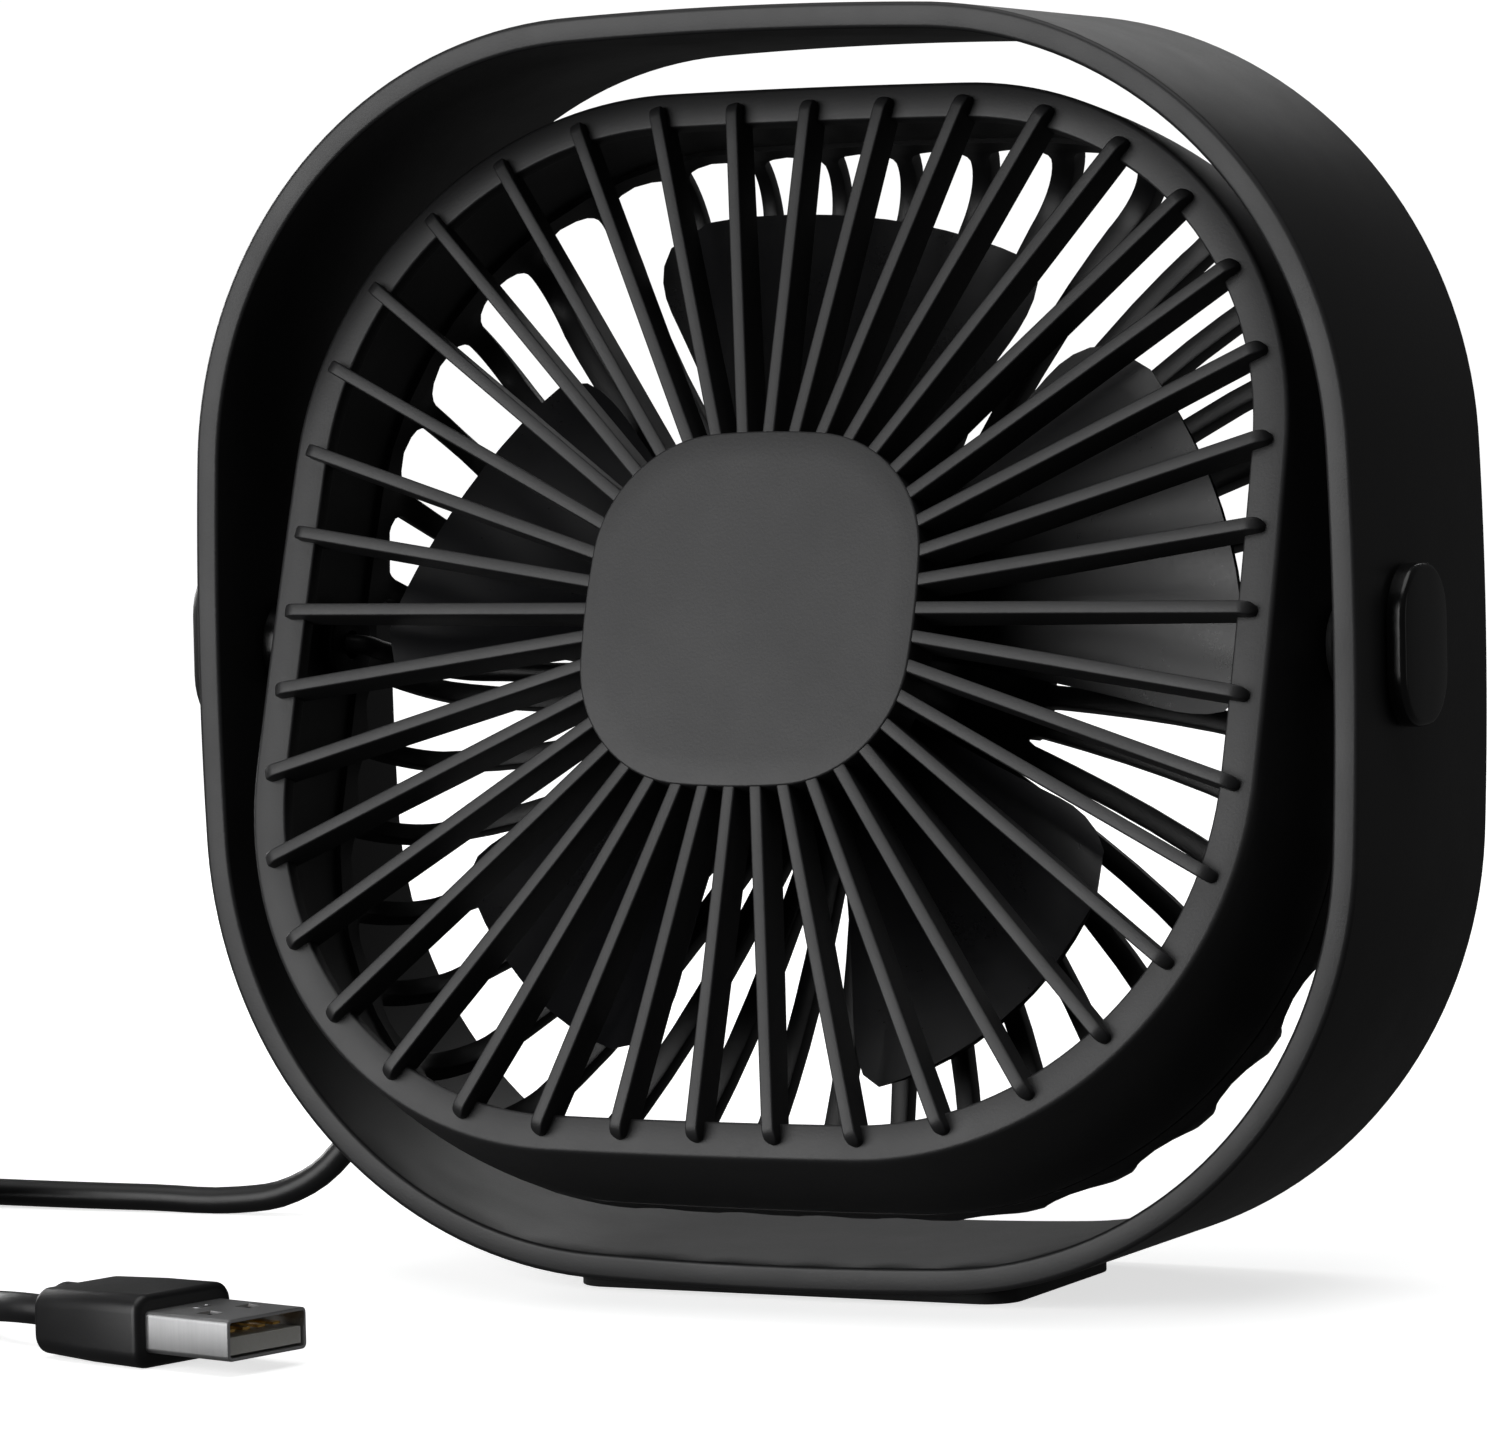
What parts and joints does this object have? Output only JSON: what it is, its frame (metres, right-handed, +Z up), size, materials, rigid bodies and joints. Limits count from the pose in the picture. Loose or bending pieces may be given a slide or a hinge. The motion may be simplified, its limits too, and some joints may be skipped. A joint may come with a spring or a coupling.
{
  "type": "desk fan",
  "caption": "Small black desk fan: a ribbed rounded-square head that turns end over end on side pivots in a free-standing hoop, with a USB lead.",
  "frame": {"origin": "on the surface that the fan stands on, at the middle of the foot pad's flat underside, under the middle of the hoop", "axes": "+Z up, -Y the way the fan blows, +X towards the pivot cover; the lead's housing is on the -X side"},
  "size_m": [0.2529, 0.1219, 0.1462],
  "materials": {
    "stand_plastic": "fine-grained moulded black plastic",
    "pad_rubber": "soft, matt",
    "gloss_plastic": "smooth, half gloss",
    "lead_jacket": "smooth, matt",
    "plug_overmould": "smooth, satin",
    "plug_shell": "bright nickel plate",
    "plug_tongue": "smooth",
    "contact_brass": "gold flash",
    "grille_plastic": "fine-grained moulded dark plastic",
    "steel": "plated",
    "end_cap_nylon": "smooth",
    "bearing_bronze": "sintered, oily",
    "magnet_ferrite": "dull, dark",
    "board_laminate": "solder mask",
    "switch_body": "smooth",
    "core_iron": "stacked sheet, dull",
    "blade_plastic": "smooth, half gloss"
  },
  "bodies": {
    "stand": {"hoop_stand": "stand_plastic", "foot_pad": "pad_rubber", "pivot_bush_left": "gloss_plastic", "pivot_bush_right": "gloss_plastic", "pivot_cover_right": "gloss_plastic", "cable_housing_left": "stand_plastic", "strain_relief": "lead_jacket", "lead_from_fan": "lead_jacket", "lead_to_plug": "lead_jacket", "lead_coil": "lead_jacket", "cord_clip": "stand_plastic", "usb_overmould": "plug_overmould", "usb_shell": "plug_shell", "usb_tongue": "plug_tongue", "usb_contact_1": "contact_brass", "usb_contact_2": "contact_brass", "usb_contact_3": "contact_brass", "usb_contact_4": "contact_brass"},
    "head": {"friction_washer_left": "pad_rubber", "friction_washer_right": "pad_rubber", "inner_lead": "lead_jacket", "motor_tab_left": "contact_brass", "motor_tab_right": "contact_brass", "front_grille": "grille_plastic", "rear_grille": "grille_plastic", "rear_hub_cover": "grille_plastic", "hub_screw_1": "steel", "hub_screw_2": "steel", "hub_screw_3": "steel", "pivot_pin_left": "steel", "pivot_pin_right": "steel", "motor_can": "steel", "motor_end_cap": "end_cap_nylon", "motor_bearing_front": "bearing_bronze", "motor_bearing_rear": "bearing_bronze", "motor_magnet_left": "magnet_ferrite", "motor_magnet_right": "magnet_ferrite", "circuit_board": "board_laminate", "push_switch": "switch_body"},
    "rotor": {"motor_shaft": "steel", "rotor_core": "core_iron", "commutator": "contact_brass", "impeller": "blade_plastic"},
    "button": {"power_button": "gloss_plastic"}
  },
  "joints": [
    {"name": "head_tilt", "type": "hinge", "parent": "stand", "child": "head", "pos_m": [0, -0.006, 0.0737], "axis": [1, 0, 0], "continuous": true},
    {"name": "fan_spin", "type": "hinge", "parent": "head", "child": "rotor", "pos_m": [0, -0.006, 0.0737], "axis": [0, -0.9553, 0.2957], "continuous": true},
    {"name": "button_press", "type": "slide", "parent": "head", "child": "button", "axis": [0, -0.9553, 0.2957], "range_m": [0, 0.0012], "stiffness_N_per_m": 800, "springref_m": -0.0008}
  ]
}
